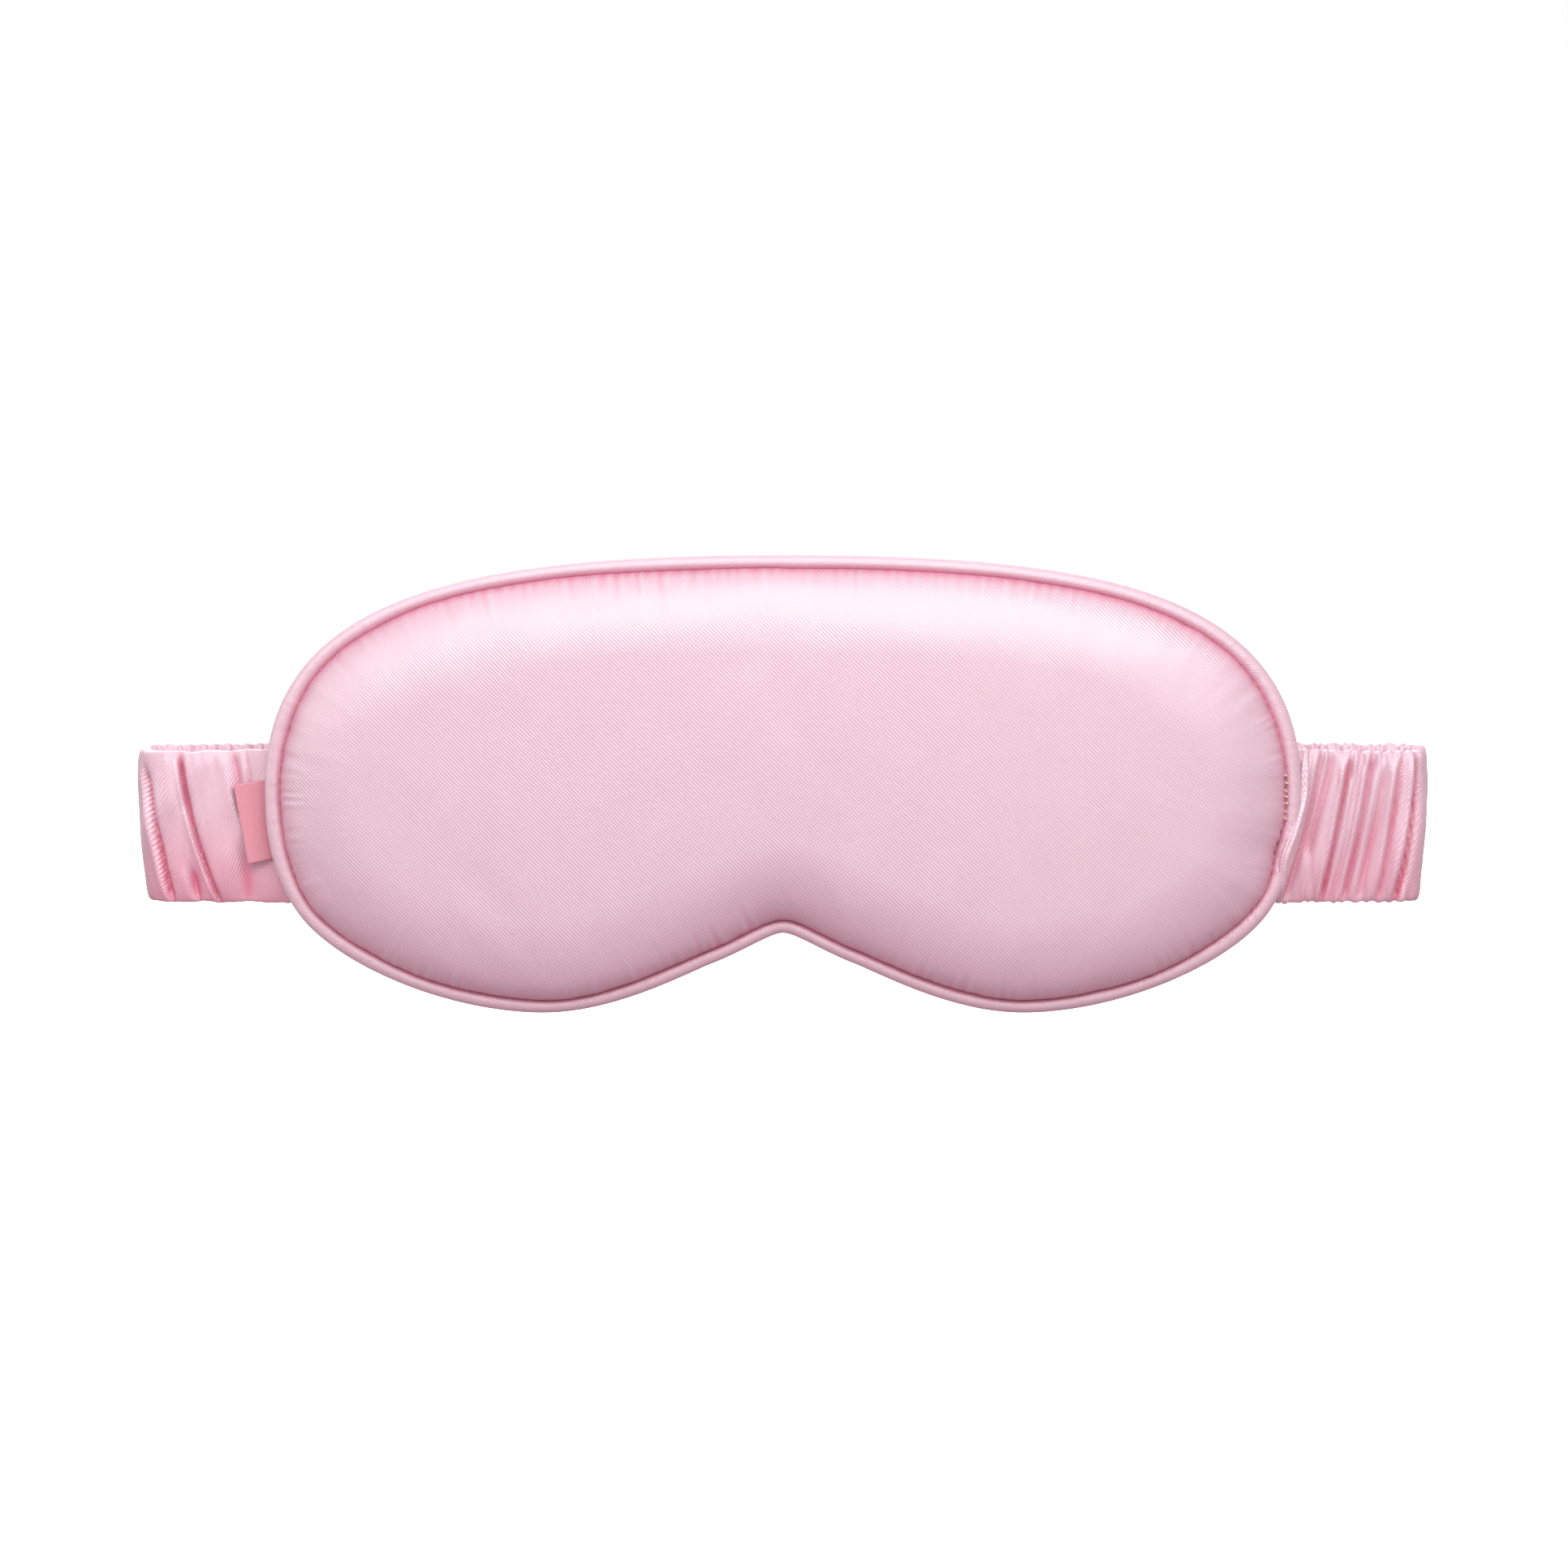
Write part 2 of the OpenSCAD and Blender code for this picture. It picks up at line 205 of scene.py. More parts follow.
def grid_object(name, points, uv=None, around=False, flip=False, depth=None):
    """A sheet of quads. points is rows by columns by 3; around joins the last column to the first.

    depth is painted shade: how deep in a fold, a seam or shade each point lies, from 0 to 1, which darkens
    the cloth's colour.
    """
    count = points.shape[0] * points.shape[1]
    index = np.arange(count).reshape(points.shape[:2])
    if around:
        index = np.hstack([index, index[:, :1]])
    faces = corners_of(index)
    if flip:
        faces = faces[:, ::-1]
    piece = new_object(name, points.reshape(-1, 3), faces)
    if depth is not None:
        layer = piece.data.attributes.new("depth", "FLOAT", "POINT")
        layer.data.foreach_set("value", np.clip(depth, 0, 1).astype(np.float32).ravel())
    if uv is not None:
        corner = corners_of(np.arange(index.size).reshape(index.shape))
        if flip:
            corner = corner[:, ::-1]
        layer = piece.data.uv_layers.new(name="cloth")
        layer.data.foreach_set("uv", (uv.reshape(-1, 2)[corner.ravel()] * MM).astype(np.float32).ravel())
    return piece


# ---------------------------------------------------------------- quilted grids
def corner_share(heading_degrees):
    """Share of the way round at which the right half of the outline has this heading."""
    along = np.roll(LOOP, -1, 0) - LOOP
    half = LOOP_COUNT // 2
    heading = np.unwrap(np.arctan2(along[:half, 1], along[:half, 0]))
    return float(np.argmax(heading < math.radians(heading_degrees))) / LOOP_COUNT


# The outline's headings where a grid has its upper right and its lower right corner.
UPPER_HEADING, LOWER_HEADING = -42, -140
UPPER_CORNER = corner_share(UPPER_HEADING)
LOWER_CORNER = corner_share(LOWER_HEADING)
CHUNK = 4000  # grid points measured at a time, to save memory


def patch(inset, columns, rows):
    """x and z of a grid whose four sides lie on the outline moved in by inset."""
    ring = ring_at(inset)

    def on_ring(t):
        return np.stack([loop_value(ring[:, 0], t), loop_value(ring[:, 1], t)], -1)

    u = np.linspace(0, 1, columns)[:, None]
    v = np.linspace(0, 1, rows)[None, :]
    top = on_ring(-UPPER_CORNER + 2 * UPPER_CORNER * u)
    bottom = on_ring(1 - LOWER_CORNER + (2 * LOWER_CORNER - 1) * u)
    left = on_ring(1 - LOWER_CORNER + (LOWER_CORNER - UPPER_CORNER) * v)
    right = on_ring(LOWER_CORNER - (LOWER_CORNER - UPPER_CORNER) * v)
    u, v = u[..., None], v[..., None]
    corners = ((1 - u) * (1 - v) * bottom[0, 0] + u * (1 - v) * bottom[-1, 0]
               + (1 - u) * v * top[0, 0] + u * v * top[-1, 0])
    return (1 - v) * bottom + v * top + (1 - u) * left + u * right - corners


def from_rim(flat, inset):
    """Distance of each grid point from the rim and how far round the nearest rim point is."""
    ring = ring_at(inset)[::2]
    nxt = np.roll(ring, -1, 0)
    points = flat.reshape(-1, 2)
    gap = np.empty(len(points))
    share = np.empty(len(points))
    edge = nxt - ring
    length2 = (edge ** 2).sum(1)
    for first in range(0, len(points), CHUNK):
        p = points[first:first + CHUNK]
        t = np.clip(((p[:, None] - ring[None]) * edge[None]).sum(-1) / length2, 0, 1)
        d = np.linalg.norm(p[:, None] - ring[None] - t[..., None] * edge[None], axis=-1)
        best = d.argmin(1)
        rows = np.arange(len(p))
        gap[first:first + CHUNK] = d[rows, best]
        share[first:first + CHUNK] = (best + t[rows, best]) * 2 / LOOP_COUNT
    gap, share = gap.reshape(flat.shape[:2]), share.reshape(flat.shape[:2])
    gap[0, :] = gap[-1, :] = 0
    gap[:, 0] = gap[:, -1] = 0
    return gap, share


SHOULDER = 17.0  # distance from the rim over which the front rounds up
BACK_SHOULDER = 13.0
DOME = 2.2  # the part of the crown that rises more slowly than the shoulder
DOME_REACH = 2.6  # how many shoulders it takes
RIM_LIFT = 0.75  # how far the front satin stands over the seam at its rim
BACK_RIM_LIFT = 0.5


def front_lift(gap):
    rise = FRONT_CROWN - DOME - RIM_LIFT
    return RIM_LIFT + rise * round_over(gap / SHOULDER) + DOME * round_over(gap / (DOME_REACH * SHOULDER))


def back_lift(gap):
    return BACK_RIM_LIFT + (BACK_CROWN - BACK_RIM_LIFT) * round_over(gap / BACK_SHOULDER)


def placed(flat, lift, side):
    """Grid points in space; side is -1 in front of the seam and 1 behind it."""
    return np.stack([flat[..., 0], seam_y(flat[..., 0]) + side * lift, flat[..., 1]], -1)


SIM_GRID = (73, 29)  # columns and rows of the simulated pillow's front
SIM_FRAMES = 24
SIM_CAP = 2.0  # the most that a point may move
SIM_SHARE = 0.12  # the filling is firm, so the satin keeps only a little of the loose pillow's shape
SLACK_FRONT, SLACK_BACK = 0.96, 0.9  # the pillow starts a little flatter, and swells


def puffed():
    """A cloth simulation of the two panels, sewn at the rim and blown up like a pillow.

    Gives how far each point moves: one field for the front and one for the back.
    """
    flat = patch(SEAM_INSET, *SIM_GRID)
    gap, _ = from_rim(flat, SEAM_INSET)
    front = placed(flat, front_lift(gap) * SLACK_FRONT, -1)
    back = placed(flat, back_lift(gap) * SLACK_BACK, 1)
    index = np.arange(gap.size).reshape(SIM_GRID)
    rim = np.ones_like(index, bool)
    rim[1:-1, 1:-1] = False
    behind = index.copy()
    behind[~rim] = index.size + np.arange((~rim).sum())
    faces = np.vstack([corners_of(index), corners_of(behind)[:, ::-1]])
    pillow = new_object("pillow", np.vstack([front.reshape(-1, 3), back[~rim]]), faces)
    pinned = pillow.vertex_groups.new(name="seam")
    pinned.add([int(i) for i in index[rim]], 1.0, "REPLACE")
    cloth = pillow.modifiers.new("cloth", "CLOTH")
    cloth.settings.quality = 6
    cloth.settings.mass = 0.12
    cloth.settings.tension_stiffness = 12
    cloth.settings.compression_stiffness = 12
    cloth.settings.shear_stiffness = 6
    cloth.settings.bending_stiffness = 0.3
    cloth.settings.shrink_min = -0.035
    cloth.settings.vertex_group_mass = "seam"
    cloth.settings.use_pressure = True
    cloth.settings.uniform_pressure_force = 4
    cloth.settings.effector_weights.gravity = 0
    cloth.point_cache.frame_start = 1
    cloth.point_cache.frame_end = SIM_FRAMES + 1
    for number in range(1, SIM_FRAMES + 1):
        scene.frame_set(number)
    seen = pillow.evaluated_get(bpy.context.evaluated_depsgraph_get())
    moved = np.empty(len(pillow.data.vertices) * 3)
    seen.data.vertices.foreach_get("co", moved)
    moved = moved.reshape(-1, 3) / MM
    scene.frame_set(1)
    bpy.data.objects.remove(pillow)
    fields = []
    for rest, where in ((front, index), (back, behind)):
        step = moved[where] - rest
        size = np.linalg.norm(step, axis=-1, keepdims=True)
        fields.append(step * np.minimum(1, SIM_CAP / np.maximum(size, 1e-6)))
    return fields


def refined(field, columns, rows):
    """A coarse field on a finer grid, smoothed so that no facet of the coarse grid is left."""
    old_u, old_v = (np.linspace(0, 1, n) for n in field.shape[:2])
    new_u, new_v = np.linspace(0, 1, columns), np.linspace(0, 1, rows)
    axes = range(3)
    wide = np.stack([[np.interp(new_u, old_u, column) for column in field[:, :, k].T] for k in axes])
    fine = np.stack([[np.interp(new_v, old_v, line) for line in wide[k].T] for k in axes], -1)
    reach = max(1, columns // field.shape[0] // 2)
    window = np.arange(-reach, reach + 1)
    for _ in range(3):
        padded = np.pad(fine, ((reach, reach), (0, 0), (0, 0)), "edge")
        fine = sum(padded[reach + w:reach + w + columns] for w in window) / len(window)
        padded = np.pad(fine, ((0, 0), (reach, reach), (0, 0)), "edge")
        fine = sum(padded[:, reach + w:reach + w + rows] for w in window) / len(window)
    fine[0, :] = fine[-1, :] = 0
    fine[:, 0] = fine[:, -1] = 0
    return fine


PUCKER_DEPTH = 0.34
PUCKER_PITCH = 2.7
# Where the seam is gathered most: x, width, strength, and 1 for the top edge or -1 for the bottom edge.
GATHERED = [(-32, 13, 1.1, 1), (-62, 14, 0.6, 1), (-10, 5, 0.7, -1), (38, 20, 0.4, 1)]


def seam_puckers(gap, share, seed):
    """Small gathers at right angles to the seam, deepest at the seam and gone a few millimetres in."""
    along = share * PERIMETER
    x = loop_value(LOOP[:, 0], share)
    z = loop_value(LOOP[:, 1], share)
    pull = np.clip(0.35 + 0.3 * waves(along, 38, seed), 0.08, 1)
    for place, width, strength, edge in GATHERED:
        pull = pull + strength * bump(x, place, width) * (z * edge > 0)
    phase = 2 * np.pi * along / PUCKER_PITCH + 1.6 * waves(along, 14, seed + 1)
    reach = 2.2 + 2.6 * np.clip(waves(along, 6, seed + 2), -0.6, 1)
    fade = np.exp(-(gap / reach) ** 2) * smooth(gap, -0.6, 0.8)
    return PUCKER_DEPTH * pull * np.sin(phase) * fade


def make_panel(name, side, columns, rows, lift, field, seed):
    flat = patch(SEAM_INSET, columns, rows)
    gap, share = from_rim(flat, SEAM_INSET)
    puckers = seam_puckers(gap, share, seed)
    points = placed(flat, lift(gap) + puckers, side)
    if field is not None:
        points = points + SIM_SHARE * refined(field, columns, rows)
    # Painted shade: darker in the seam's crease, in a band along the seam and in the pucker valleys, a little
    # lighter on the pucker ridges.
    seam_crease_shade = 0.75 * np.exp(-(gap / 0.8) ** 2)
    seam_shade = 0.25 * np.exp(-(gap / 3.2) ** 2)
    depth = seam_crease_shade + seam_shade - 0.9 * puckers
    return grid_object(name, points, uv=flat, flip=side > 0, depth=depth)


# ---------------------------------------------------------------- materials
def node(tree, kind, **values):
    made = tree.nodes.new("ShaderNode" + kind)
    for key, value in values.items():
        setattr(made, key, value)
    return made


def start_material(name):
    material = bpy.data.materials.new(name)
    material.use_nodes = True
    tree = material.node_tree
    return material, tree, tree.nodes["Principled BSDF"]


def mapped(tree, uv, turn=0.0):
    """Metres on the cloth where uv is true, otherwise metres in the piece's own axes."""
    where = node(tree, "UVMap", uv_map="cloth") if uv else node(tree, "TexCoord")
    mapping = node(tree, "Mapping")
    mapping.inputs["Rotation"].default_value = (0, 0, turn)
    tree.links.new(where.outputs["UV" if uv else "Object"], mapping.inputs["Vector"])
    return mapping.outputs["Vector"]


def noise(tree, vector, scale, detail=3, rough=0.5):
    made = node(tree, "TexNoise")
    made.inputs["Scale"].default_value = scale
    made.inputs["Detail"].default_value = detail
    made.inputs["Roughness"].default_value = rough
    tree.links.new(vector, made.inputs["Vector"])
    return made.outputs["Fac"]


def ramp(tree, factor, stops):
    made = node(tree, "ValToRGB")
    for k, (place, colour) in enumerate(stops):
        element = made.color_ramp.elements[k] if k < 2 else made.color_ramp.elements.new(place)
        element.position = place
        element.color = (*colour, 1)
    tree.links.new(factor, made.inputs["Fac"])
    return made.outputs["Color"]


def add(tree, a, b, share):
    """a plus a share of b."""
    made = node(tree, "Math", operation="MULTIPLY_ADD")
    tree.links.new(b, made.inputs[0])
    made.inputs[1].default_value = share
    tree.links.new(a, made.inputs[2])
    return made.outputs[0]


def shade(colour, factor):
    return tuple(min(1, c * factor) for c in colour)


BAND_SCALE = 0.314  # a wave texture's scale for one band a metre


def bands(tree, vector, pitch, distortion):
    """Straight lines, pitch millimetres apart."""
    made = node(tree, "TexWave", wave_type="BANDS", bands_direction="X")
    made.inputs["Scale"].default_value = BAND_SCALE / (pitch * MM)
    made.inputs["Distortion"].default_value = distortion
    tree.links.new(vector, made.inputs["Vector"])
    return made


def relief(tree, shader, height, strength, distance):
    made = node(tree, "Bump")
    made.inputs["Strength"].default_value = strength
    made.inputs["Distance"].default_value = distance
    tree.links.new(height, made.inputs["Height"])
    tree.links.new(made.outputs["Normal"], shader.inputs["Normal"])


def satin(name, colour, deep, roughness=0.47, pitch=0.58):
    """Satin-backed twill: fine diagonal lines, a soft broad gloss, and painted shade: a deeper colour down in
    the folds, along seams and on shaded sides.
    """
    material, tree, shader = start_material(name)
    vector = mapped(tree, True, turn=math.radians(-45))
    plain = mapped(tree, True)
    lines = bands(tree, vector, pitch, 1.2)
    lines.inputs["Detail"].default_value = 1
    lines.inputs["Detail Scale"].default_value = 1.4
    grain = noise(tree, plain, 1900, 2)
    cloud = noise(tree, plain, 90, 3)
    pattern = add(tree, add(tree, grain, lines.outputs["Fac"], 0.6), cloud, 0.4)
    halved = node(tree, "Math", operation="MULTIPLY")
    tree.links.new(pattern, halved.inputs[0])
    halved.inputs[1].default_value = 0.5
    woven = ramp(tree, halved.outputs[0], [(0.2, shade(colour, 0.87)), (0.8, shade(colour, 1.09))])
    # Painted shade: the deep colour is multiplied in as far as the depth attribute says a point lies in a
    # fold, a seam or shade.
    deeper = ramp(tree, cloud, [(0.2, shade(deep, 0.94)), (0.8, shade(deep, 1.06))])
    fold = node(tree, "Attribute", attribute_name="depth")
    mixed = node(tree, "Mix", data_type="RGBA", blend_type="MULTIPLY")
    tree.links.new(fold.outputs["Fac"], mixed.inputs["Factor"])
    tree.links.new(woven, mixed.inputs["A"])
    tree.links.new(deeper, mixed.inputs["B"])
    tree.links.new(mixed.outputs["Result"], shader.inputs["Base Color"])
    relief(tree, shader, add(tree, lines.outputs["Fac"], grain, 1.4), 0.5, 0.09 * MM)
    gloss = node(tree, "MapRange")
    gloss.inputs["To Min"].default_value = roughness - 0.04
    gloss.inputs["To Max"].default_value = roughness + 0.05
    tree.links.new(cloud, gloss.inputs["Value"])
    tree.links.new(gloss.outputs["Result"], shader.inputs["Roughness"])
    shader.inputs["IOR"].default_value = 1.75
    shader.inputs["Specular IOR Level"].default_value = 1.0
    shader.inputs["Sheen Weight"].default_value = 0.3
    shader.inputs["Sheen Roughness"].default_value = 0.35
    shader.inputs["Sheen Tint"].default_value = (1.0, 0.88, 0.93, 1)
    return material


def fibre(name, colour, scale=700):
    """Matt wadding or felt."""
    material, tree, shader = start_material(name)
    vector = mapped(tree, False)
    fine = noise(tree, vector, scale, 4, 0.65)
    broad = noise(tree, vector, scale / 9, 2)
    tree.links.new(ramp(tree, fine, [(0.25, shade(colour, 0.8)), (0.75, shade(colour, 1.12))]),
                   shader.inputs["Base Color"])
    relief(tree, shader, add(tree, fine, broad, 0.6), 0.6, 0.2 * MM)
    shader.inputs["Roughness"].default_value = 0.9
    shader.inputs["Sheen Weight"].default_value = 0.2
    return material


def ribbed(name, colour, pitch, roughness=0.7, strength=0.7):
    """Woven band, ribbon, cord or thread with one set of ribs."""
    material, tree, shader = start_material(name)
    vector = mapped(tree, False)
    ribs = bands(tree, vector, pitch, 0.6).outputs["Fac"]
    pattern = add(tree, ribs, noise(tree, vector, 2500, 2), 0.4)
    tone = ramp(tree, pattern, [(0.1, shade(colour, 0.85)), (0.9, shade(colour, 1.08))])
    tree.links.new(tone, shader.inputs["Base Color"])
    relief(tree, shader, ribs, strength, 0.1 * MM)
    shader.inputs["Roughness"].default_value = roughness
    shader.inputs["Sheen Weight"].default_value = 0.25
    return material


PINK = (0.59, 0.385, 0.458)
PAINTED_SHADE_TINT = (1.0, 0.46, 0.6)  # painted shade: what the pink is multiplied by deep in a fold or seam
SATIN_FRONT = satin("satin_front", PINK, PAINTED_SHADE_TINT)
SATIN_BACK = satin("satin_back", PINK, PAINTED_SHADE_TINT)
# The second colour of each satin is its painted shade, multiplied in deep in folds and seams.
SATIN_PIPING = satin("satin_piping", (0.61, 0.385, 0.455), (1.0, 0.6, 0.7), roughness=0.45, pitch=0.42)
SATIN_STRAP = satin("satin_strap", (0.62, 0.375, 0.455), (1.0, 0.3, 0.44), roughness=0.4)
PADDING = fibre("padding", (0.85, 0.83, 0.78))
LINER = fibre("liner", (0.03, 0.03, 0.035), scale=1500)
CORD = ribbed("cord", (0.85, 0.83, 0.79), 0.5)
THREAD_PINK = ribbed("thread_pink", (0.62, 0.30, 0.38), 0.2)
THREAD_TAN = ribbed("thread_tan", (0.72, 0.56, 0.42), 0.2)
THREAD_WHITE = ribbed("thread_white", (0.85, 0.78, 0.78), 0.2)
RIBBON = ribbed("label", (0.60, 0.235, 0.29), 0.35, roughness=0.5, strength=0.35)
ELASTIC = ribbed("elastic", (0.82, 0.80, 0.78), 1.1)


def dress(piece, material, body=None):
    piece.data.materials.clear()
    piece.data.materials.append(material)
    if body:
        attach(piece, body)
    return piece


# ---------------------------------------------------------------- mask body
FRONT_GRID = (400, 150)  # columns and rows
BACK_GRID = (260, 100)
CORE_GRID = (120, 48)


def make_panels():
    front_field, back_field = puffed()
    front = make_panel("satin_front_panel", -1, *FRONT_GRID, front_lift, front_field, 21)
    dress(front, SATIN_FRONT, "mask")
    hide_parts("front_panel")
    back = make_panel("satin_back_panel", 1, *BACK_GRID, back_lift, back_field, 31)
    dress(back, SATIN_BACK, "mask")
    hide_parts("back_panel")


def closed_layer(name, inset, columns, rows, front, back):
    """A closed layer between a front and a back surface, given as functions of the distance from its rim."""
    flat = patch(inset, columns, rows)
    gap, _ = from_rim(flat, inset)
    near = placed(flat, front(gap), 1).reshape(-1, 3)
    far = placed(flat, back(gap), 1).reshape(-1, 3)
    index = np.arange(columns * rows).reshape(columns, rows)
    rim = np.concatenate([index[:, 0], index[-1, 1:], index[-2::-1, -1], index[0, -2:0:-1]])
    nxt = np.roll(rim, -1)
    count = index.size
    walls = np.stack([rim, nxt, nxt + count, rim + count], 1)[:, ::-1]
    faces = np.vstack([corners_of(index), corners_of(index + count)[:, ::-1], walls])
    return new_object(name, np.vstack([near, far]), faces)


CORE_INSET = 8.2  # from the outline to the padding's rim
CORE_UNDER = 2.4  # how far its shoulder stays under the satin's
CORE_BACK, LINER_FRONT, LINER_BACK = 0.2, 0.3, 0.65  # where these faces start, behind the seam


def make_filling():
    lumps = waves(np.arange(CORE_GRID[0]), 11, 41)[:, None] * waves(np.arange(CORE_GRID[1]), 9, 42)[None, :]

    def core_front(gap):
        shoulder = (FRONT_CROWN - DOME - CORE_UNDER) * round_over(gap / 13)
        return -(0.5 + shoulder + 1.2 * round_over(gap / 40) + 0.18 * lumps * smooth(gap, 0, 6))

    def behind(start):
        return lambda gap: start + 1.7 * round_over(gap / 9)

    core = closed_layer("fibre_padding", CORE_INSET, *CORE_GRID, core_front, behind(CORE_BACK))
    dress(core, PADDING, "mask")
    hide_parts("padding_core")
    liner = closed_layer("blackout_felt", CORE_INSET, *CORE_GRID, behind(LINER_FRONT), behind(LINER_BACK))
    dress(liner, LINER, "mask")
    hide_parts("blackout_liner")


MOUTH = 160  # degrees round the cord at which the strip turns in
PIPE_COLUMNS = 23


def make_piping():
    """The bias strip: round the cord, then both raw edges run in as the flange."""
    turn = np.radians(np.linspace(MOUTH, -MOUTH, PIPE_COLUMNS))
    gather = 0.009 * waves(AROUND, 2.3, 51, 9) + 0.01 * waves(AROUND, 11, 52)
    radius = PIPE_SHOWN[:, None] * (1 + gather[:, None] * (1.3 + np.cos(turn[None, :] - np.pi)) / 2)
    deep = PIPE_R * (1 + gather[:, None])
    inset = PIPE_SHOWN[:, None] - radius * np.cos(turn)[None, :]
    depth = deep * np.sin(turn)[None, :]
    raw_edge = np.repeat((2 * PIPE_SHOWN + FLANGE)[:, None], 2, 1)
    upper_edge = np.tile([FLANGE_SLIT, FLANGE_HALF], (LOOP_COUNT, 1))
    inset = np.hstack([raw_edge, inset, raw_edge])
    depth = np.hstack([upper_edge, depth, -upper_edge[:, ::-1]])
    x = LOOP[:, None, 0] + INWARD[:, None, 0] * inset
    z = LOOP[:, None, 1] + INWARD[:, None, 1] * inset
    y = seam_y(LOOP[:, 0])[:, None] + depth
    points = np.stack([x, y, z], -1).transpose(1, 0, 2)
    across = np.cumsum(np.r_[0, np.linalg.norm(np.diff(points[:, 0], axis=0), axis=1)])
    uv = np.stack(np.broadcast_arrays(np.append(AROUND, PERIMETER)[None, :], across[:, None]), -1)
    # Painted shade: the half of the strip that turns in towards the seam is darker, and the outer half stays
    # light.
    inner_half_shade = smooth(inset / PIPE_SHOWN[:, None], 0.95, 1.75).T
    cover = grid_object("piping_strip", points, uv=uv, around=True, depth=inner_half_shade)
    dress(cover, SATIN_PIPING, "mask")
    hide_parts("piping_cover")


PLIES = 3
PLY_PITCH = 5.5  # cord length in which a ply goes once round
CORD_RINGS, CORD_SIDES = 1200, 12
PLY_GROOVE = 0.1  # half its depth, as a share of the cord's radius


def make_cord():
    """Three plies twisted round each other along the piping's centre."""
    pick = np.linspace(0, LOOP_COUNT, CORD_RINGS, endpoint=False).astype(int)
    around = np.linspace(0, 2 * np.pi, CORD_SIDES, endpoint=False)
    twist = 2 * np.pi * AROUND[pick] / PLY_PITCH
    size = CORD_R * (1 - PLY_GROOVE * (1 - np.cos(PLIES * (around[None, :] - twist[:, None]))))
    inset = PIPE_SHOWN[pick][:, None] - np.minimum(size, PIPE_SHOWN[pick][:, None] - 0.25) * np.cos(around)
    depth = size * np.sin(around)
    x = LOOP[pick, None, 0] + INWARD[pick, None, 0] * inset
    z = LOOP[pick, None, 1] + INWARD[pick, None, 1] * inset
    y = seam_y(LOOP[pick, 0])[:, None] + depth
    index = np.arange(x.size).reshape(x.shape)
    index = np.vstack([index, index[:1]])
    index = np.hstack([index, index[:, :1]])
    cord = new_object("twisted_cord", np.stack([x, y, z], -1).reshape(-1, 3), corners_of(index))
    dress(cord, CORD, "mask")
    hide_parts("piping_cord")


THREAD_SIDES, THREAD_STEPS = 6, 5


def thread(start, end, radius, height):
    """Points, sides and caps of one stitch, which stands out in front and dips in at both ends."""
    start, end = np.asarray(start, float), np.asarray(end, float)
    along = (end - start) / np.linalg.norm(end - start)
    out = np.array([0.0, -1.0, 0.0])
    side = np.cross(along, out)
    t = np.linspace(0, 1, THREAD_STEPS)
    centre = start + (end - start) * t[:, None] + height * out * (4 * t * (1 - t))[:, None]
    size = radius * (0.35 + 0.65 * np.sin(np.pi * t) ** 0.4)
    turn = np.linspace(0, 2 * np.pi, THREAD_SIDES, endpoint=False)
    ring = (np.cos(turn)[None, :, None] * side + np.sin(turn)[None, :, None] * out) * size[:, None, None]
    points = (centre[:, None] + ring).reshape(-1, 3)
    index = np.arange(len(points)).reshape(THREAD_STEPS, THREAD_SIDES)
    caps = [index[0, ::-1].tolist(), index[-1].tolist()]
    return points, corners_of(np.hstack([index, index[:, :1]])).tolist(), caps


def threads(name, stitches):
    """All stitches of one kind as one piece."""
    points, faces, first = [], [], 0
    for made, quads, caps in stitches:
        points.append(made)
        faces += [[first + i for i in f] for f in quads + caps]
        first += len(made)
    return new_object(name, np.vstack(points), faces)


STITCH_PITCH = 2.4
STITCH_LENGTH = 1.7
STITCH_R = 0.16
CLOSING_COUNT = 7
CLOSING_PITCH = 1.45
CLOSING_IN = 3.35  # from the outline to the hand-sewn closing stitches
CLOSING_LIFT = 1.75  # how far they stand in front of the seam


def make_stitches():
    count = int(PERIMETER / STITCH_PITCH)
    line = ring_at(SEAM_INSET - 0.05)
    made = []
    for k in range(count):
        ends = []
        for t in (k / count, (k + STITCH_LENGTH / STITCH_PITCH) / count):
            x, z = float(loop_value(line[:, 0], t)), float(loop_value(line[:, 1], t))
            ends.append([x, seam_y(x) - RIM_LIFT - 0.12, z])
        made.append(thread(*ends, STITCH_R, STITCH_R))
    seam = threads("seam_thread", made)
    dress(seam, THREAD_PINK, "mask")
    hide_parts("seam_stitches")
    closing = []
    _, high = box_mm("closing_stitches")
    for k in range(CLOSING_COUNT):
        z = high[2] - 0.5 - CLOSING_PITCH * k
        x = edge_x(z, CLOSING_IN) + 0.18 * math.sin(2.1 * k)
        y = seam_y(x) - CLOSING_LIFT
        closing.append(thread([x - 0.6, y, z], [x + 0.55, y + 0.15, z - 0.55 + 0.2 * math.cos(1.7 * k)],
                              0.2, 0.35))
    tan = threads("closing_thread", closing)
    dress(tan, THREAD_TAN, "mask")
    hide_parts("closing_stitches")


# ---------------------------------------------------------------- strap
FOLD_X = SIDE_HIGH[0] - 1.7  # outermost strap centreline at mid height
FOLD_R = 5.0  # radius of the strap's fold at each side
FOLD_Y = 14.4  # depth of the fold's centre
RUN_DEEP = RUN_HIGH[1] - STRAP_T  # depth of the back run's centre
PATH_STEP = 0.36  # distance between the rows of the sleeve


